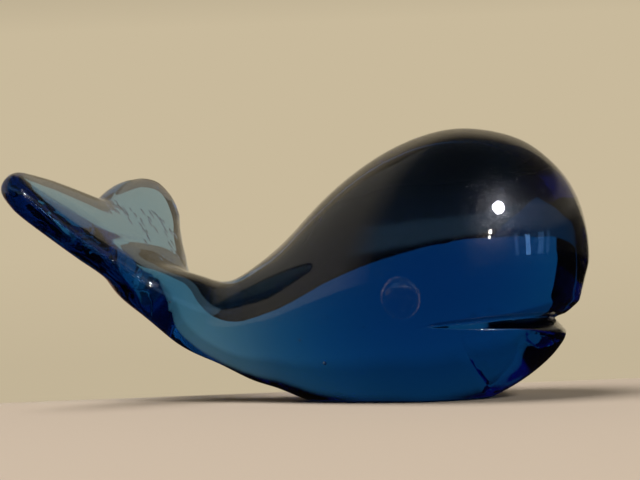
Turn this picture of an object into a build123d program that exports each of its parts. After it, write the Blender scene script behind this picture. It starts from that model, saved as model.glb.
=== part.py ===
from build123d import *
import math
import os

# A solid glass whale paperweight, drawn in millimetres.
# It is one gather of glass, shaped hot, with a drop of the same glass laid on for each eye.
# The head points along +X, the tail curls up behind it, and Z is up.
# The origin is the middle of the ground flat that the whale rests on.

# Head and trunk
nose_reach = 48.6
head_height = 65.7
head_width = 59.0
trunk_length = 141.0
nose_tip_height = 35.3

# How far every cutting tool runs past the glass
cut_overrun = 40.0

# Tail flukes, squeezed flat and sheared apart while hot, then melted round at the rim
notch_back = 91.2
notch_height = 57.2
blade_rise = 48.9
blade_length = 52.0
blade_half_span = 41.7
blade_thickness = 9.4
blade_cup = 3.2
blade_skew = 5.0
left_sweep = 0.128
right_sweep = -0.031
blade_squareness = 4.0
blade_section_points = 32
blade_point_crowding = 0.22

# Mouth, a crease pressed round the front of the head while hot, deepest under the nose. The
# angles are in degrees above level, on a vertical section through the middle of the head.
mouth_centre_height = 16.7
mouth_rise = 4.5
mouth_floor_radius = 26.8
mouth_floor_reach = 40.6
upper_lip_radius = 8.0
upper_lip_start = 14.0
upper_lip_end = 36.0
lower_lip_radius = 5.3
lower_lip_start = 36.0
lower_lip_end = -28.0

# Eyes, round drops that stand proud of the head and sink a little into it
eye_forward = 11.7
eye_height = 23.6
eye_side = 28.6
eye_diameter = 9.4
eye_stand = 1.9
eye_seat = 0.9
eye_droop = 9.4

# Cross-sections of the trunk, from the nose to the root of the flukes. A row holds the distance
# behind the nose as a share of trunk_length, the centre's height and the half height as shares
# of head_height, the half width as a share of head_width, and the lean in degrees.
trunk_section_shares = [
    (0.006, 0.541, 0.100, 0.090, 0),
    (0.030, 0.540, 0.242, 0.238, 0),
    (0.055, 0.522, 0.332, 0.311, 0),
    (0.092, 0.516, 0.409, 0.392, 0),
    (0.142, 0.505, 0.469, 0.461, 0),
    (0.201, 0.488, 0.512, 0.497, 0),
    (0.259, 0.462, 0.530, 0.500, 0),
    (0.326, 0.443, 0.508, 0.474, 0),
    (0.393, 0.413, 0.468, 0.431, 0),
    (0.460, 0.375, 0.410, 0.372, 0),
    (0.523, 0.337, 0.336, 0.311, 0),
    (0.577, 0.318, 0.274, 0.255, 0),
    (0.632, 0.303, 0.223, 0.212, 0),
    (0.685, 0.322, 0.178, 0.186, 12),
    (0.738, 0.353, 0.159, 0.182, 28),
    (0.792, 0.416, 0.138, 0.210, 38),
    (0.842, 0.476, 0.114, 0.250, 44),
    (0.892, 0.577, 0.090, 0.280, 46),
    (0.940, 0.690, 0.058, 0.280, 46),
]

# Sections of one fluke from the whale's middle to the tip. A row holds the distance from the
# middle as a share of blade_half_span, the leading and the trailing edge along the blade as
# shares of blade_length, and the thickness as a share of blade_thickness.
blade_section_shares = [
    (0.000, 0.10, 1.000, 1.00),
    (0.130, 0.17, 1.040, 1.00),
    (0.300, 0.28, 1.085, 0.98),
    (0.460, 0.41, 1.115, 0.95),
    (0.620, 0.55, 1.130, 0.91),
    (0.760, 0.67, 1.130, 0.87),
    (0.860, 0.76, 1.115, 0.83),
    (0.930, 0.84, 1.090, 0.74),
    (0.975, 0.905, 1.060, 0.54),
    (0.994, 0.950, 1.025, 0.27),
]
blade_tip_share = 0.99


def trunk_section(back, centre, half_height, half_width, lean):
    turn = math.radians(lean)
    plane = Plane(
        origin=(nose_reach - trunk_length * back, 0, head_height * centre),
        x_dir=(0, 1, 0),
        z_dir=(-math.cos(turn), 0, math.sin(turn)),
    )
    return plane * Ellipse(head_width * half_width, head_height * half_height)


def make_trunk():
    nose_tip = Vertex(nose_reach, 0, nose_tip_height)
    return loft([nose_tip] + [trunk_section(*row) for row in trunk_section_shares])


def blade_outline_point(index, half_chord, half_thickness):
    """A point of a flat section with rounded rims, the points crowded towards the two rims."""
    turn = 2 * math.pi * index / blade_section_points
    turn -= blade_point_crowding * math.sin(2 * turn)
    along = math.cos(turn)
    up = math.sin(turn)
    power = 2 / blade_squareness
    return (
        math.copysign(abs(along) ** power, along) * half_chord,
        math.copysign(abs(up) ** power, up) * half_thickness,
    )


def fluke_spine_point(side, sweep, across, middle):
    """Where a section sits, side is +1 for left, -1 for right, middle a share of blade_length."""
    reach = blade_half_span * across
    return (blade_length * (1 - middle) - sweep * reach, side * reach, blade_cup * across * across)


def fluke_section(side, sweep, across, leading, trailing, thickness):
    plane = Plane(
        origin=fluke_spine_point(side, sweep, across, (leading + trailing) / 2),
        x_dir=(1, 0, 0),
        z_dir=(0, 1, 0),
    )
    half_chord = blade_length * (trailing - leading) / 2
    half_thickness = blade_thickness * thickness / 2
    points = [
        blade_outline_point(index, half_chord, half_thickness)
        for index in range(blade_section_points)
    ]
    return plane * make_face(Spline(points, periodic=True))


def make_fluke(side, sweep):
    sections = [fluke_section(side, sweep, *row) for row in blade_section_shares]
    return loft(sections + [Vertex(*fluke_spine_point(side, sweep, 1, blade_tip_share))])


def make_flukes():
    both = make_fluke(1, left_sweep) + make_fluke(-1, right_sweep)
    rise = math.radians(blade_rise)
    blade_plane = Plane(
        origin=(-notch_back, 0, notch_height),
        x_dir=(math.cos(rise), 0, -math.sin(rise)),
        z_dir=(math.sin(rise), 0, math.cos(rise)),
    )
    middle = Pos(blade_length / 2, 0, 0)
    return blade_plane * middle * Rot(0, 0, blade_skew) * middle.inverse() * both


def on_arc(centre, radius, angle):
    turn = math.radians(angle)
    return (centre[0] + radius * math.cos(turn), centre[1] + radius * math.sin(turn))


def lip_arc(centre, radius, first, last):
    middle = (first + last) / 2
    return ThreePointArc(*[on_arc(centre, radius, angle) for angle in (first, middle, last)])


def make_mouth_tool():
    """The half ring pressed out of the head, a crease with a rounded lip above and below it."""
    crease = (mouth_floor_radius, 0)
    upper_centre = on_arc(crease, upper_lip_radius, upper_lip_start + 90)
    upper_out = on_arc(upper_centre, upper_lip_radius, upper_lip_end - 90)
    lower_centre = on_arc(crease, -lower_lip_radius, lower_lip_start)
    lower_out = on_arc(lower_centre, lower_lip_radius, lower_lip_end)
    outside = mouth_floor_radius + cut_overrun
    steepness = math.tan(math.radians(upper_lip_end))
    top = upper_out[1] + (outside - upper_out[0]) * steepness
    with BuildSketch(Plane.XZ) as profile:
        with BuildLine():
            lip_arc(upper_centre, upper_lip_radius, upper_lip_end - 90, upper_lip_start - 90)
            lip_arc(lower_centre, lower_lip_radius, lower_lip_start, lower_lip_end)
            Polyline(lower_out, (outside, lower_out[1]), (outside, top), upper_out)
        make_face()
    half_ring = revolve(profile.sketch, Axis.Z, 180)
    place = Pos(mouth_floor_reach - mouth_floor_radius, 0, mouth_centre_height)
    return place * Rot(0, -mouth_rise, 0) * Rot(0, 0, -90) * half_ring


def make_eye(side):
    """A lens between two balls, whose rim lies on the head, side is +1 for left, -1 for right."""
    half = eye_diameter / 2
    face_ball = (half * half + eye_stand * eye_stand) / (2 * eye_stand)
    seat_ball = (half * half + eye_seat * eye_seat) / (2 * eye_seat)
    lens = Pos(0, 0, eye_stand - face_ball) * Sphere(face_ball)
    lens = lens & Pos(0, 0, seat_ball - eye_seat) * Sphere(seat_ball)
    droop = math.radians(eye_droop)
    plane = Plane(
        origin=(eye_forward, side * eye_side, eye_height),
        x_dir=(1, 0, 0),
        z_dir=(0, side * math.cos(droop), -math.sin(droop)),
    )
    return plane * lens


def make_ground():
    """Everything below the flat that the whale rests on."""
    block = Box(2 * trunk_length, 2 * head_width, cut_overrun)
    return Pos(0, 0, -cut_overrun / 2) * block


os.makedirs("parts", exist_ok=True)
left_eye = make_eye(1)
right_eye = make_eye(-1)
whale_body = make_trunk() + make_flukes()
whale_body = whale_body - make_ground()
whale_body = whale_body - make_mouth_tool()
whale_body = whale_body - left_eye - right_eye
export_step(whale_body, "parts/whale_body.step")
export_step(left_eye, "parts/left_eye.step")
export_step(right_eye, "parts/right_eye.step")
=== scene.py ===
import math
import bmesh
import bpy
import numpy as np
from mathutils import Matrix, Vector
from mathutils.bvhtree import BVHTree


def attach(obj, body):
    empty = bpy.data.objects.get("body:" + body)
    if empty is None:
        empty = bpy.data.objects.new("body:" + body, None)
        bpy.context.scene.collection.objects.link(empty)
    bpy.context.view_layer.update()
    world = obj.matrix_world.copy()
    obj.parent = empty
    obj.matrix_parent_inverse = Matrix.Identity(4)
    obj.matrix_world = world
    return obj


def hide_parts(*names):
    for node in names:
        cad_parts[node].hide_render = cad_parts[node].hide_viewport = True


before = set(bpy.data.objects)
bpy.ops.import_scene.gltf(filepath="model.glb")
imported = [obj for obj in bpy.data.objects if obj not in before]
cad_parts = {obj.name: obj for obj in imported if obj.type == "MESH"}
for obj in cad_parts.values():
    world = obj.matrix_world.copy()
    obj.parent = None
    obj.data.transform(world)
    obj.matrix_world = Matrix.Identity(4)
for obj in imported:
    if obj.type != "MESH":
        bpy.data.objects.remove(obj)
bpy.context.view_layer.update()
MM = 0.001


# Camera
# A long lens just above the table top, turned 20 degrees towards the whale's face, looking up a
# little and leaning as the photograph leans.
camera_turn = 20
camera_distance = 250 * MM
camera_height = 14 * MM
camera_swing = 4.198
camera_pitch = 6.063
camera_roll = -2.25
focal_length = 55.4
lens = bpy.data.cameras.new("camera")
lens.sensor_width = 36.0
lens.lens = focal_length
lens.clip_start = 10 * MM
camera = bpy.data.objects.new("camera", lens)
bpy.context.collection.objects.link(camera)
around = math.radians(camera_turn)
camera_place = (
    camera_distance * math.sin(around), -camera_distance * math.cos(around), camera_height,
)
camera.matrix_world = (
    Matrix.Translation(camera_place)
    @ Matrix.Rotation(math.radians(camera_turn + camera_swing), 4, "Z")
    @ Matrix.Rotation(math.radians(90 + camera_pitch), 4, "X")
    @ Matrix.Rotation(math.radians(camera_roll), 4, "Z")
)
bpy.context.scene.camera = camera
bpy.context.scene.view_settings.view_transform = "Standard"


# Body, whale_glass
# One gather of soda-lime glass coloured all through, pulled into head and tail while hot, and
# fire polished, so its skin is smooth and clear but never quite even.
def srgb(code):
    """A #rrggbb colour as the linear RGBA that Blender's nodes take."""
    channels = [int(code[i:i + 2], 16) / 255 for i in (1, 3, 5)]
    linear = [c / 12.92 if c <= 0.04045 else ((c + 0.055) / 1.055) ** 2.4 for c in channels]
    return (*linear, 1.0)


def add_node(tree, kind, values=(), **settings):
    """Adds a node. A value that is a socket is linked to the input, any other is its default."""
    node = tree.nodes.new(kind)
    for name, value in settings.items():
        setattr(node, name, value)
    for socket, value in dict(values).items():
        if isinstance(value, bpy.types.NodeSocket):
            tree.links.new(value, node.inputs[socket])
        else:
            node.inputs[socket].default_value = value
    return node


def map_range(tree, value, start, end, low=0.0, high=1.0):
    """Low up to start and high from end on, even in between."""
    return add_node(tree, "ShaderNodeMapRange", {
        "Value": value, 1: start, 2: end, 3: low, 4: high,
    }).outputs[0]


def mix_colours(tree, share, first, second):
    """The first colour where share is 0, and the second where it is 1."""
    return add_node(tree, "ShaderNodeMix", {
        "Factor": share, 6: first, 7: second,
    }, data_type="RGBA").outputs[2]


def mix_shaders(tree, share, first, second):
    """The first shader where share is 0, and the second where it is 1."""
    return add_node(tree, "ShaderNodeMixShader", {
        0: share, 1: first.outputs[0], 2: second.outputs[0],
    })


def dot_product(tree, vector, direction):
    return add_node(tree, "ShaderNodeVectorMath", {
        0: vector, 1: direction,
    }, operation="DOT_PRODUCT").outputs["Value"]


def new_piece(name, mesh):
    piece = bpy.data.objects.new(name, mesh)
    bpy.context.collection.objects.link(piece)
    return piece


def evaluated_mesh(piece):
    """The piece's mesh with its modifiers, which are then taken off."""
    graph = bpy.context.evaluated_depsgraph_get()
    mesh = bpy.data.meshes.new_from_object(piece.evaluated_get(graph))
    piece.modifiers.clear()
    return mesh


def read_vectors(items, name):
    """One vector of each vertex, edge or face as the rows of an array."""
    flat = np.empty(len(items) * 3)
    items.foreach_get(name, flat)
    return flat.reshape(-1, 3)


def rising(value, start, width):
    """0 up to start and 1 from start + width on, even in between."""
    return np.clip((value - start) / width, 0, 1)


def falling(value, end, width):
    """1 up to end - width and 0 from end on, even in between."""
    return np.clip((end - value) / width, 0, 1)


# The solid of the body gets an even skin of small faces.
weld_distance = 0.01 * MM
skin_voxel = 0.69 * MM
solid = bmesh.new()
solid.from_mesh(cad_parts["whale_body"].data)
bmesh.ops.remove_doubles(solid, verts=solid.verts, dist=weld_distance)
solid_tree = BVHTree.FromBMesh(solid)
solid_mesh = bpy.data.meshes.new("solid")
solid.to_mesh(solid_mesh)
solid.free()
whale = new_piece("whale_glass", solid_mesh)
remesh = whale.modifiers.new("remesh", "REMESH")
remesh.mode = "VOXEL"
remesh.voxel_size = skin_voxel
skin = evaluated_mesh(whale)
points = read_vectors(skin.vertices, "co")
ends = np.empty(len(skin.edges) * 2, dtype=np.int64)
skin.edges.foreach_get("vertices", ends)
ends = ends.reshape(-1, 2)

# The mouth's crease is a half ring. Each point of the skin knows its place on it: how far round
# in degrees, how far out from its floor, and how far above it.
crease_centre = np.array([13.8, 0, 16.7]) * MM
crease_radius = 26.8 * MM
crease_tilt = math.radians(4.5)


def crease_place(places):
    local = places - crease_centre
    ahead = local[:, 0] * math.cos(crease_tilt) + local[:, 2] * math.sin(crease_tilt)
    above = -local[:, 0] * math.sin(crease_tilt) + local[:, 2] * math.cos(crease_tilt)
    out = np.hypot(ahead, local[:, 1]) - crease_radius
    return np.degrees(np.arctan2(local[:, 1], ahead)), out, above


def relax(weight, rounds, pull, push=0.0):
    """Draws each weighted point towards its neighbours, and with push out again, as heat does."""
    joined = ends[(weight[ends] > 0).any(1)]
    used, local = np.unique(joined, return_inverse=True)
    first, second = local.reshape(-1, 2).T
    count = len(used)
    shares = weight[used][:, None] / np.bincount(local.ravel(), minlength=count)[:, None]
    places = points[used]
    for _ in range(rounds):
        for amount in (pull, -push) if push else (pull,):
            total = np.stack([
                np.bincount(first, places[second, axis], count)
                + np.bincount(second, places[first, axis], count)
                for axis in range(3)
            ], 1)
            places += amount * (total * shares - places * weight[used][:, None])
    points[used] = places


# Fire polishing. Each melt says how many rounds it has, how hard it pulls, and how hard it pushes
# back out. A guard is where melting starts and the width it grows over, and a reach is where it
# ends and the width it fades over. The crease and the ground flat keep their edges.
melt_all = (60, 0.6, 0.62)
crease_end = 100
crease_guard = (1.5 * MM, 3 * MM)
flat_guard = (0, 1.5 * MM)
turn, out, above = crease_place(points)
from_crease = np.where(abs(turn) < crease_end, np.hypot(out, above), 1)
free = rising(from_crease, *crease_guard) * rising(points[:, 2], *flat_guard)
relax(free, *melt_all)

# On the far side the crease melts away, from 30 degrees round on.
melt_far_crease = (90, 0.6)
far_crease_turns = (30, 35)
far_crease_reach = (9 * MM, 4 * MM)
on_far_crease = rising(turn, *far_crease_turns) * falling(from_crease, *far_crease_reach)
relax(on_far_crease, *melt_far_crease)

# The tail is thin and was hottest. Its flukes' leading rims run into it in one sweep, and a web
# of glass fills each armpit between fluke and tail. What shrinks by melting is grown back.
melt_tail = (26, 0.5)
melt_rim = (90, 0.5)
melt_web = (75, 0.6)
tail_reach = (-53 * MM, 10 * MM)
rim_reach = (13 * MM, 8 * MM)
web_reach = (11 * MM, 9 * MM)
tail_regrow = 0.3 * MM
rim_path = np.array([
    (-76, 34, 47), (-74, 29, 44), (-71, 24, 39), (-68, 18, 34), (-64, 13, 30), (-54, 10, 22),
]) * MM
armpit = np.array([-78, 15, 32.5]) * MM


def distance_to_path(path):
    nearest = np.full(len(points), 1.0)
    for start, end in zip(path, path[1:]):
        run = end - start
        share = np.clip((points - start) @ run / (run @ run), 0, 1)
        apart = np.linalg.norm(points - start - share[:, None] * run, axis=1)
        nearest = np.minimum(nearest, apart)
    return nearest


on_tail = falling(points[:, 0], *tail_reach)
relax(on_tail, *melt_tail)
on_rims = np.zeros(len(points))
for side in (1, -1):
    on_rim = falling(distance_to_path(rim_path * (1, side, 1)), *rim_reach)
    relax(on_rim, *melt_rim)
    on_rims = np.maximum(on_rims, on_rim)
    from_armpit = np.linalg.norm(points - armpit * (1, side, 1), axis=1)
    relax(falling(from_armpit, *web_reach), *melt_web)
skin.vertices.foreach_set("co", points.ravel())
skin.update()
outward = read_vectors(skin.vertices, "normal")
points += (on_tail * (1 - on_rims))[:, None] * tail_regrow * outward

# Under each eye the skin is whole, as the drop's seat has melted into it. The eyes sit where they
# do in the solids, with side 1 on the whale's left and -1 on its right.
melt_seat = (300, 0.8)
seat_margin = 0.9 * MM
seat_depth = 3 * MM
nose_ward = Vector((1, 0, 0))
eye_ahead, eye_beside, eye_height = 11.7, 28.6, 23.6
eye_places = {
    side: Vector((eye_ahead, side * eye_beside, eye_height)) * MM for side in (1, -1)
}
eye_radius = 4.7 * MM
eye_droop = math.radians(9.4)


def eye_axis(side):
    return Vector((0, side * math.cos(eye_droop), -math.sin(eye_droop)))


def eye_down(side):
    return eye_axis(side).cross(nose_ward) * side


def from_eye(places, side):
    """How far out along an eye's axis each place lies, and how far beside the axis."""
    axis = np.array(eye_axis(side))
    offset = places - np.array(eye_places[side])
    along = offset @ axis
    return along, np.linalg.norm(offset - along[:, None] * axis, axis=1)


for side in (1, -1):
    along, beside = from_eye(points, side)
    seat = (beside < eye_radius + seat_margin) & (abs(along) < seat_depth)
    relax(seat.astype(float), *melt_seat)
skin.vertices.foreach_set("co", points.ravel())

# Finer skin round the mouth, laid back on the solid's own surface where the crease is sharp
finer_reaches = (3.6 * MM, 1.9 * MM)
finer_end = 98
hold_reach = (4.5 * MM, 1.5 * MM)
hold_end = (crease_end, 6)
hold_turns = (48, 18)
shape = bmesh.new()
shape.from_mesh(skin)


def crease_place_of_shape():
    shape.verts.ensure_lookup_table()
    return crease_place(np.array([vertex.co[:] for vertex in shape.verts]))


for reach in finer_reaches:
    turn, out, above = crease_place_of_shape()
    near = (np.hypot(out, above) < reach) & (abs(turn) < finer_end)
    shape.verts.index_update()
    cut = [e for e in shape.edges if near[e.verts[0].index] and near[e.verts[1].index]]
    bmesh.ops.subdivide_edges(shape, edges=cut, cuts=1, use_grid_fill=True)
bmesh.ops.triangulate(shape, faces=[f for f in shape.faces if len(f.verts) > 4])
turn, out, above = crease_place_of_shape()
hold = falling(np.hypot(out, above), *hold_reach)
hold = hold * falling(abs(turn), *hold_end) * falling(turn, *hold_turns)
for index in np.nonzero(hold > 0)[0]:
    vertex = shape.verts[int(index)]
    place = solid_tree.find_nearest(vertex.co)[0]
    vertex.co = vertex.co.lerp(place, float(hold[index]))
skin.clear_geometry()
shape.to_mesh(skin)
shape.free()

# The lower lip is bevelled up to the crease, deepest under the nose, and gone at the corners of
# the mouth and on the far side. Its crest and the brow of the upper lip are read off the skin
# every few degrees, and the bevel runs between them.
lip_corner = 83.0
lip_drop = 3.7 * MM
lip_least = 0.02
brow_height = 1.2 * MM
bevel_depth = 2.9 * MM
bevel_rise = 1.0 * MM
bevel_turns = (50, 30)
crest_curve, bevel_curve, down_curve, up_curve = 0.75, 0.33, 0.85, 0.6
lip_reach = 8 * MM
stations = np.arange(-88, 89, 4.0)
station_reach = 3
crest_reach = 0.5 * MM
brow_reach = 0.4 * MM


def from_corner(degrees, least):
    """1 under the nose, falling to least at the corners of the mouth."""
    return np.clip(1 - (abs(degrees) / lip_corner) ** 2, least, 1)


points = read_vectors(skin.vertices, "co")
turn, out, above = crease_place(points)
crest, brow = [], []
for station in stations:
    near = (abs(turn - station) < station_reach) & (out > -lip_reach) & (out < lip_reach)
    crest_height = -lip_drop * from_corner(station, lip_least) ** crest_curve
    crest.append(out[near & (abs(above - crest_height) < crest_reach)].max())
    brow.append(out[near & (abs(above - brow_height) < brow_reach)].max())
crest_out = np.interp(turn, stations, crest)
brow_out = np.interp(turn, stations, brow)
bevel = bevel_depth * from_corner(turn, 0) ** bevel_curve * falling(turn, *bevel_turns)
floor_out = np.minimum(crest_out, brow_out) - bevel
crest_drop = lip_drop * from_corner(turn, lip_least) ** crest_curve
down_share = falling(above, 0, crest_drop)
up_share = rising(above, 0, bevel_rise)
wanted = np.where(above < 0, floor_out + (crest_out - floor_out) * down_share ** down_curve, 1)
on_rise = (above >= 0) & (up_share < 1)
wanted = np.where(on_rise, floor_out + (brow_out - floor_out) * up_share ** up_curve, wanted)
on_lip = (above > -crest_drop) & (abs(turn) < lip_corner) & (out > -lip_reach)
inward = crease_centre[None] - points
inward[:, 2] = 0
inward /= np.linalg.norm(inward, axis=1)[:, None]
points += inward * (np.clip(out - wanted, 0, bevel_depth) * on_lip)[:, None]
skin.vertices.foreach_set("co", points.ravel())
skin.update()

# Cobalt and copper blue soda-lime glass, fire polished, which gives the eye a clear mirror gloss
# and a blue that deepens with thickness. A third of the red light is left after a centimetre, a
# third of the green after two, and a third of the blue after the whole width of the head. Where
# an eye has melted onto the body light passes from one to the other unbent.
glass_ior = 1.5
glass_passes = "#00c7eb"
glass_strength = 119.0
scuff_sheen = 0.45
fused_sheen = 0.08
scuff_roughness = 0.2
scuff_width = 1.1 * MM
scuff_depth = 0.022 * MM
scuff_edges = (0.42, 0.6)
ground_roughness = 0.45
ground_edge = (0.1 * MM, 0.4 * MM)
tail_end = -100 * MM
nose_end = 50 * MM
hot_glass = bpy.data.materials.new("blue_soda_lime_glass")
hot_glass.use_nodes = True
tree = hot_glass.node_tree
tree.nodes.clear()
fused = add_node(tree, "ShaderNodeAttribute", attribute_name="fused").outputs["Fac"]
bend = map_range(tree, fused, 0, 1, glass_ior, 1.0)
sheen = map_range(tree, fused, 0, 1, scuff_sheen, fused_sheen)
place = add_node(tree, "ShaderNodeTexCoord").outputs["Object"]
axes = add_node(tree, "ShaderNodeSeparateXYZ", {0: place})
# the flat under the belly was ground, and is satin
ground = map_range(tree, axes.outputs["Z"], *ground_edge, ground_roughness, 0.0)
# the tint drifts darker and towards violet in the neck, and back to near white at the nose
share = map_range(tree, axes.outputs["X"], tail_end, nose_end)
cast = add_node(tree, "ShaderNodeValToRGB", {0: share})
stops = cast.color_ramp.elements
stops[0].position, stops[0].color = 0.10, srgb("#fff3fc")
stops[1].position, stops[1].color = 0.86, srgb("#fffcff")
for position, code in (
    (0.22, "#ffecf3"), (0.33, "#ffdfe7"), (0.45, "#ffd6e5"), (0.53, "#ffdfed"),
    (0.66, "#ffe7f2"), (0.75, "#fff3fc"),
):
    stops.new(position).color = srgb(code)
clear = mix_colours(tree, fused, cast.outputs["Color"], srgb("#ffffff"))
# fine scuffs from handling, drawn 1.1 mm wide, coarser than they are, so that they show
swirl = add_node(tree, "ShaderNodeTexNoise", {
    "Vector": place, "Scale": 1 / scuff_width, "Detail": 3.0, "Distortion": 2.2,
})
scuff = map_range(tree, swirl.outputs["Fac"], *scuff_edges)
scuffed = add_node(tree, "ShaderNodeBump", {
    "Height": scuff, "Strength": 1.0, "Distance": scuff_depth,
})
surface = add_node(tree, "ShaderNodeBsdfPrincipled", {
    "Base Color": clear, "Roughness": ground, "IOR": bend, "Transmission Weight": 1.0,
    "Coat Weight": sheen, "Coat Roughness": scuff_roughness, "Coat Normal": scuffed.outputs[0],
})
depth = add_node(tree, "ShaderNodeVolumeAbsorption", {
    "Color": srgb(glass_passes), "Density": glass_strength,
})
add_node(tree, "ShaderNodeOutputMaterial", {
    "Surface": surface.outputs[0], "Volume": depth.outputs[0],
})

# Seeds are bubbles left in the melt, round in the body. Where the flukes were squeezed flat and
# sheared apart they are drawn into needles along the blade, thickest round the notch. The needles
# are coarser than real ones, so that they show.
blade_rise = math.radians(48.9)
blade_origin = np.array([-91.2, 0, 57.2]) * MM
blade_chord = np.array([math.cos(blade_rise), 0, -math.sin(blade_rise)])
blade_normal = np.array([math.sin(blade_rise), 0, math.cos(blade_rise)])
blade_across = np.array([0, 1, 0])
large_seeds = (
    ((-11.2, -19.6, 9.6), 0.45), ((-17.3, -20.2, 15.3), 0.3), ((-59.5, -11.5, 26.9), 0.3),
)
# a few, which hardly show, were trapped under the right eye when its drop was laid on: ahead of
# its middle, below it, and radius, all in millimetres as in the next rows
eye_seeds = (
    (-0.4, 0.3, 0.16), (-1.6, 1.2, 0.13), (-0.9, 2.2, 0.12), (-2.3, -0.2, 0.12), (0.9, 2.0, 0.1),
    (-1.3, 2.9, 0.11), (-2.6, 1.5, 0.1), (0.1, 3.1, 0.1), (-0.2, 1.3, 0.12),
)
eye_seed_depth = 1.25
loose_seeds = 22
loose_from, loose_to = (-60, -27, 4), (42, 27, 62)
loose_sizes = (0.09, 0.2)
loose_cover = 1.5 * MM
# how many, across the blade, along it, half length, and half width
needle_groups = ((40, (1, 23), (3, 28), (0.9, 2.3), 0.3), (26, (-7, 5), (1.5, 8), (0.7, 1.6), 0.4))
needle_depths = (0.5, 2.6)
needle_fullness = (0.7, 1.5)
needle_yaws = (-0.65, -0.25)
needle_cover = 0.8 * MM
random = np.random.default_rng(7)
skin_tree = BVHTree.FromPolygons([p[:] for p in points], [p.vertices[:] for p in skin.polygons])
spots, spreads, turns = [], [], []


def add_seed(spot, spread, turned=(0.0, 0.0, 0.0)):
    spots.append(spot)
    spreads.append(spread)
    turns.append(turned)


def depth_below_skin(spot):
    place, normal, _, _ = skin_tree.find_nearest(Vector(spot))
    return (place - Vector(spot)).dot(normal)


for spot, radius in large_seeds:
    add_seed(np.array(spot) * MM, np.full(3, radius) * MM)
for ahead, down, radius in eye_seeds:
    shift = nose_ward * ahead + eye_down(-1) * down - eye_axis(-1) * eye_seed_depth
    spot = eye_places[-1] + shift * MM
    add_seed(np.array(spot[:]), np.full(3, radius) * MM)
placed = len(spots)
while len(spots) < placed + loose_seeds:
    spot = random.uniform(loose_from, loose_to) * MM
    if depth_below_skin(spot) > loose_cover:
        add_seed(spot, np.full(3, random.uniform(*loose_sizes)) * MM)
for count, across, along, length, width in needle_groups:
    made = 0
    while made < count:
        side_step, chord_step = random.uniform(*across), random.uniform(*along)
        spot = blade_origin + (chord_step * blade_chord + side_step * blade_across) * MM
        spot = spot + blade_normal * random.uniform(*needle_depths) * MM
        if depth_below_skin(spot) < needle_cover:
            continue
        spread = [random.uniform(*length), width * random.uniform(*needle_fullness), width]
        add_seed(spot, np.array(spread) * MM, (0.0, blade_rise, random.uniform(*needle_yaws)))
        made += 1
seeds_mesh = bpy.data.meshes.new("seeds")
seeds_mesh.from_pydata([tuple(spot) for spot in spots], [], [])
for name, values in (("spread", spreads), ("turned", turns)):
    layer = seeds_mesh.attributes.new(name, "FLOAT_VECTOR", "POINT")
    layer.data.foreach_set("vector", np.array(values).ravel())
seeds = new_piece("seeds", seeds_mesh)
group = bpy.data.node_groups.new("seeds", "GeometryNodeTree")
for way in ("INPUT", "OUTPUT"):
    group.interface.new_socket("Geometry", in_out=way, socket_type="NodeSocketGeometry")
given = add_node(group, "NodeGroupInput")
ball = add_node(group, "GeometryNodeMeshIcoSphere", {"Radius": 1.0, "Subdivisions": 2})
spread, turned = (
    add_node(group, "GeometryNodeInputNamedAttribute", {"Name": name}, data_type="FLOAT_VECTOR")
    for name in ("spread", "turned")
)
laid = add_node(group, "GeometryNodeInstanceOnPoints", {
    "Points": given.outputs[0], "Instance": ball.outputs["Mesh"],
    "Rotation": turned.outputs["Attribute"], "Scale": spread.outputs["Attribute"],
})
real = add_node(group, "GeometryNodeRealizeInstances", {0: laid.outputs[0]})
hollow = add_node(group, "GeometryNodeFlipFaces", {0: real.outputs[0]})
coated = add_node(group, "GeometryNodeSetMaterial", {
    "Geometry": hollow.outputs[0], "Material": hot_glass,
})
add_node(group, "NodeGroupOutput", {0: coated.outputs[0]})
seeds.modifiers.new("seeds", "NODES").node_group = group
hollows = evaluated_mesh(seeds)
bpy.data.objects.remove(seeds)
shape = bmesh.new()
shape.from_mesh(skin)
shape.from_mesh(hollows)
for face in shape.faces:
    face.smooth = True
skin.clear_geometry()
shape.to_mesh(skin)
shape.free()

skin.materials.clear()
skin.materials.append(hot_glass)
fused_inset = 0.25 * MM
fused_depth = 2 * MM
centres = read_vectors(skin.polygons, "center")
is_fused = np.zeros(len(centres), dtype=bool)
for side in (1, -1):
    along, beside = from_eye(centres, side)
    is_fused |= (beside < eye_radius - fused_inset) & (abs(along) < fused_depth)
fused = skin.attributes.new("fused", "FLOAT", "FACE")
fused.data.foreach_set("value", is_fused.astype(float))
whale.data = skin
whale.name = "whale_glass"
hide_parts("whale_body")
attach(whale, "root")


# Eyes, left_eye_drop and right_eye_drop
# Each is a drop of the same glass laid on the hot head and left to settle. The near one stands
# proud as a low dome with a slight ridge near its rim and a nipple where its thread was snipped
# off, and the far one has sunk further in and is plain.
near_stand = 1.15 * MM
far_stand = 0.45 * MM
drop_seat = 0.85 * MM
drop_sink = 0.1 * MM
drop_rings = 40
drop_segments = 72
dome_flatness, dome_edge = 2.6, 1.5
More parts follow.
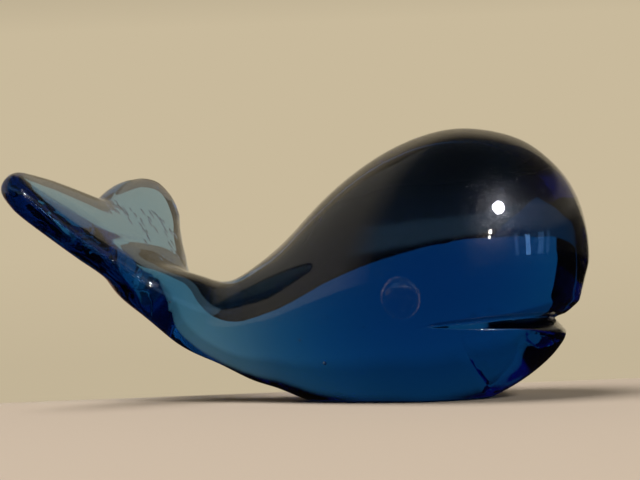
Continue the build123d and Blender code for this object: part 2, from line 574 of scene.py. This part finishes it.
# shares of the drop's radius and of how far it stands proud
ridge_place, ridge_width, ridge_height = 0.86, 0.07, 0.13
snip_ahead, snip_down, snip_width, snip_height = 0.2, -0.53, 0.10, 0.42
for side, node in ((1, "left_eye"), (-1, "right_eye")):
    axis = eye_axis(side)
    stand = near_stand if side < 0 else far_stand
    shape = bmesh.new()

    def ring_point(share, angle, height):
        flat = math.cos(angle) * nose_ward + math.sin(angle) * eye_down(side)
        return eye_places[side] + share * eye_radius * flat + (height - drop_sink) * axis

    def face_height(share, angle):
        dome = (1 - share ** dome_flatness) ** dome_edge
        if side > 0:
            return stand * dome
        from_snip = math.hypot(
            share * math.cos(angle) - snip_ahead, share * math.sin(angle) - snip_down,
        )
        ridge = ridge_height * math.exp(-((share - ridge_place) / ridge_width) ** 2)
        return stand * (dome + ridge + snip_height * math.exp(-(from_snip / snip_width) ** 2))

    tip = shape.verts.new(ring_point(0, 0, face_height(0, 0)))
    root = shape.verts.new(ring_point(0, 0, -drop_seat))
    angles = [2 * math.pi * i / drop_segments for i in range(drop_segments)]
    face_rings, seat_rings = [], []
    for ring in range(1, drop_rings + 1):
        share = ring / drop_rings
        face_rings.append([
            shape.verts.new(ring_point(share, a, face_height(share, a))) for a in angles
        ])
        if ring < drop_rings:
            deep = -drop_seat * (1 - share * share)
            seat_rings.append([shape.verts.new(ring_point(share, a, deep)) for a in angles])
    seat_rings.append(face_rings[-1])
    for rings, middle, index in ((face_rings, tip, 0), (seat_rings, root, 1)):
        for i in range(drop_segments):
            j = (i + 1) % drop_segments
            shape.faces.new((middle, rings[0][i], rings[0][j])).material_index = index
            for a, b in zip(rings, rings[1:]):
                shape.faces.new((a[i], b[i], b[j], a[j])).material_index = index
    bmesh.ops.recalc_face_normals(shape, faces=shape.faces)
    for face in shape.faces:
        face.smooth = True
    for edge in shape.edges:
        if {face.material_index for face in edge.link_faces} == {0, 1}:
            edge.smooth = False
    mesh = bpy.data.meshes.new(node + "_drop")
    shape.to_mesh(mesh)
    shape.free()
    fused = mesh.attributes.new("fused", "FLOAT", "FACE")
    for polygon in mesh.polygons:
        fused.data[polygon.index].value = polygon.material_index
        polygon.material_index = 0
    mesh.materials.append(hot_glass)
    drop = new_piece(node + "_drop", mesh)
    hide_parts(node)
    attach(drop, "root")


# Stage, not part of the object
# A plain pale table top and a pale wall 1.2 m behind it, a soft lamp high to the right, cool
# window strips far to the right, and a dim room. Distances are in metres along the camera's
# heading and to its right.
pale = "#c9ba9c"
half_width = 1.5
front_edge = -1.2
wall_distance = 1.2
wall_half_width = 1.1
wall_foot = -0.02
wall_top = 2.4
floor_height = -0.0003
shade_height = -0.0001
shade_start = 0.05
shade_end = 1.185
doorway_distance = 1.19
heading = math.radians(camera_turn + camera_swing)
forward = Vector((-math.sin(heading), math.cos(heading), 0))
rightward = Vector((math.cos(heading), math.sin(heading), 0))


def on_stage(ahead, beside, height):
    return ahead * forward + beside * rightward + Vector((0, 0, height))


def level_corners(near, far, height, left=-half_width, right=half_width):
    places = ((near, left), (near, right), (far, right), (far, left))
    return [on_stage(ahead, beside, height) for ahead, beside in places]


def upright_corners(distance, left, right, low, high):
    places = ((left, low), (right, low), (right, high), (left, high))
    return [on_stage(distance, beside, height) for beside, height in places]


def stage_sheet(name, corners):
    mesh = bpy.data.meshes.new(name)
    mesh.from_pydata([c[:] for c in corners], [], [(0, 1, 2, 3)])
    sheet = new_piece(name, mesh)
    material = bpy.data.materials.new(name)
    material.use_nodes = True
    material.node_tree.nodes.clear()
    mesh.materials.append(material)
    return sheet, material.node_tree


def place_along(tree, direction):
    place = add_node(tree, "ShaderNodeTexCoord").outputs["Object"]
    return dot_product(tree, place, direction)


# Wall, pale matt paint drawn as a glowing sheet with painted shade: bright behind the whale, a
# touch dimmer at its foot, and dark towards the top. The low and the high fade go on top of each
# other.
low_fade, low_faded = (0.50, 0.66), 0.70
high_fade, high_faded = (1.3, wall_top), 0.04
foot_end, foot_painted_shade = 0.16, 0.93
_, tree = stage_sheet("wall", upright_corners(
    wall_distance, -wall_half_width, wall_half_width, wall_foot, wall_top,
))
height = place_along(tree, (0, 0, 1))
fade = map_range(tree, height, *low_fade, 1.0, low_faded)
fade = map_range(tree, height, *high_fade, fade, high_faded)
foot = map_range(tree, height, 0.0, foot_end, foot_painted_shade, 1.0)
glow = add_node(tree, "ShaderNodeMath", {0: fade, 1: foot}, operation="MULTIPLY")
light = add_node(tree, "ShaderNodeEmission", {"Color": srgb(pale), "Strength": glow.outputs[0]})
add_node(tree, "ShaderNodeOutputMaterial", {"Surface": light.outputs[0]})

# Table top, a matt pale board, and beyond its back edge as pale as the wall
table_edge = (0.058, 0.066)
_, tree = stage_sheet("floor", level_corners(front_edge, wall_distance, floor_height))
beyond = map_range(tree, place_along(tree, forward), *table_edge)
top = add_node(tree, "ShaderNodeBsdfDiffuse", {"Color": srgb("#b4a58c")})
glow = add_node(tree, "ShaderNodeEmission", {"Color": srgb(pale), "Strength": 0.93})
board = mix_shaders(tree, beyond, top, glow)
add_node(tree, "ShaderNodeOutputMaterial", {"Surface": board.outputs[0]})


# Painted shade: dark sheets, kept from the camera, that the glass sees beside the wall and on the
# table as a dark room. Light that has gone through many faces of the glass sees painted pale light
# instead.
def far_gone(tree):
    """1 for a ray that has met more than three faces, 0 for any other."""
    ways = add_node(tree, "ShaderNodeLightPath")
    return add_node(tree, "ShaderNodeMath", {
        0: ways.outputs["Ray Depth"], 1: 3.5,
    }, operation="GREATER_THAN").outputs[0]


def shade_sheet(name, code, corners, clear=True, gleam=True):
    """A sheet that shows through the glass where clear, and in its gleam where gleam."""
    sheet, tree = stage_sheet(name, corners)
    dim = add_node(tree, "ShaderNodeEmission", {"Color": srgb(code), "Strength": 1.0})
    bright = add_node(tree, "ShaderNodeEmission", {"Color": srgb(pale), "Strength": 0.9})
    seen = mix_shaders(tree, far_gone(tree), dim, bright)
    add_node(tree, "ShaderNodeOutputMaterial", {"Surface": seen.outputs[0]})
    sheet.visible_camera = False
    sheet.visible_diffuse = False
    sheet.visible_shadow = False
    sheet.visible_transmission = clear
    sheet.visible_glossy = gleam


shade = "#100c08"
behind = level_corners(shade_start, shade_end, shade_height)
shade_sheet("shade_behind", shade, behind)
# the sheet beyond the tail is painted grey-brown light, lighter than the shade of the others
beyond_tail = level_corners(0.165, shade_end, shade_height / 2, right=-0.03)
shade_sheet("shade_beyond_tail", "#8b6c58", beyond_tail)
in_front = level_corners(front_edge, shade_start, shade_height)
shade_sheet("shade_in_front", shade, in_front, clear=False)
doorway = upright_corners(doorway_distance, -1.6, -0.60, 0.0, wall_top)
shade_sheet("shade_doorway", "#0c0a08", doorway, gleam=False)
beside = level_corners(-0.06, shade_start, shade_height, left=-0.26, right=-0.055)
shade_sheet("shade_beside", shade, beside)

# Room, a painted reflection seen only in the glass's gleam: a band of cool daylight at ceiling
# height, warm to the right, dim above and below it, and plain grey to the left. The camera sees it
# pale, other rays dim grey, and rays that have met more than three faces of the glass painted pale
# light.
world = bpy.data.worlds.new("room")
bpy.context.scene.world = world
world.use_nodes = True
tree = world.node_tree
tree.nodes.clear()
direction = add_node(tree, "ShaderNodeTexCoord").outputs["Generated"]
upward = add_node(tree, "ShaderNodeSeparateXYZ", {0: direction}).outputs["Z"]


def room_band(lowest, highest, levels):
    """Colours by how steeply up a ray goes, from level to straight up."""
    band = add_node(tree, "ShaderNodeValToRGB", {0: upward})
    stops = band.color_ramp.elements
    stops[0].color = srgb(lowest)
    stops[1].color = srgb(highest)
    for position, code in levels:
        stops.new(position).color = srgb(code)
    return band.outputs["Color"]


def room_side(side, start, full):
    """0 away from a side and 1 towards it, rising between two cosines."""
    return map_range(tree, dot_product(tree, direction, side), start, full)


cool = room_band("#0c0e12", "#32383e", (
    (0.26, "#101820"), (0.31, "#6c9ac0"), (0.50, "#6a94b8"), (0.55, "#3c5468"),
))
warm = room_band("#2e2b25", "#2c2822", (
    (0.20, "#34312a"), (0.30, "#868074"), (0.48, "#8a8272"), (0.56, "#48443c"),
))
room = mix_colours(tree, room_side((0.766, 0.643, 0), 0.4, 0.7), cool, warm)
room = mix_colours(tree, room_side((-0.94, 0.342, 0), 0.4, 0.6), room, srgb("#9a968c"))
gleam = add_node(tree, "ShaderNodeBackground", {"Color": room, "Strength": 1.0})
dark = add_node(tree, "ShaderNodeBackground", {"Color": srgb("#272727"), "Strength": 1.0})
bright = add_node(tree, "ShaderNodeBackground", {"Color": srgb(pale), "Strength": 1.0})
ways = add_node(tree, "ShaderNodeLightPath")
seen = mix_shaders(tree, far_gone(tree), dark, bright)
for ray, shown in (("Is Glossy Ray", gleam), ("Is Camera Ray", bright)):
    seen = mix_shaders(tree, ways.outputs[ray], seen, shown)
add_node(tree, "ShaderNodeOutputWorld", {"Surface": seen.outputs[0]})


# Lights, each aimed at the near side of the head but for the one overhead
def soft_light(name, place, target, size, watts, code, tall=0):
    data = bpy.data.lights.new(name, "AREA")
    data.shape = "RECTANGLE" if tall else "DISK"
    data.size = size
    if tall:
        data.size_y = tall
    data.energy = watts
    data.color = srgb(code)[:3]
    light = bpy.data.objects.new(name, data)
    bpy.context.collection.objects.link(light)
    light.location = place
    light.rotation_euler = (Vector(target) - place).to_track_quat("-Z", "Y").to_euler()
    light.visible_transmission = False
    return light


def towards(azimuth, elevation):
    a, e = math.radians(azimuth), math.radians(elevation)
    return Vector((math.sin(a) * math.cos(e), -math.cos(a) * math.cos(e), math.sin(e)))


head = Vector((32, -25, 38)) * MM
light_distance = 1.5
# degrees round from the whale's right side, degrees up, width, height, watts
for name, turned, raised, size, tall, watts, code in (
    ("lamp", 55.5, 32.4, 0.27, 0, 12.0, "#f4f4ff"),
    ("lamp_low_a", 44.9, 16.0, 0.09, 0, 1.2, "#fff6ea"),
    ("lamp_low_b", 43.7, 12.2, 0.07, 0, 0.7, "#fff6ea"),
    ("window_a", 75, 0, 0.09, 0.6, 0.9, "#7cb8ff"),
    ("window_b", 68, 3, 0.07, 0.5, 0.12, "#7cb8ff"),
    ("window_c", 83, 1, 0.09, 0.6, 0.24, "#7cb8ff"),
    ("window_d", 89, 1, 0.07, 0.6, 0.12, "#7cb8ff"),
):
    place = head + towards(turned, raised) * light_distance
    soft_light(name, place, head, size, watts, code, tall)
overhead = soft_light("overhead", on_stage(-0.3, -0.6, 1.4), (0, 0, 0), 1.2, 31.0, "#f4f2ff")
overhead.visible_glossy = False
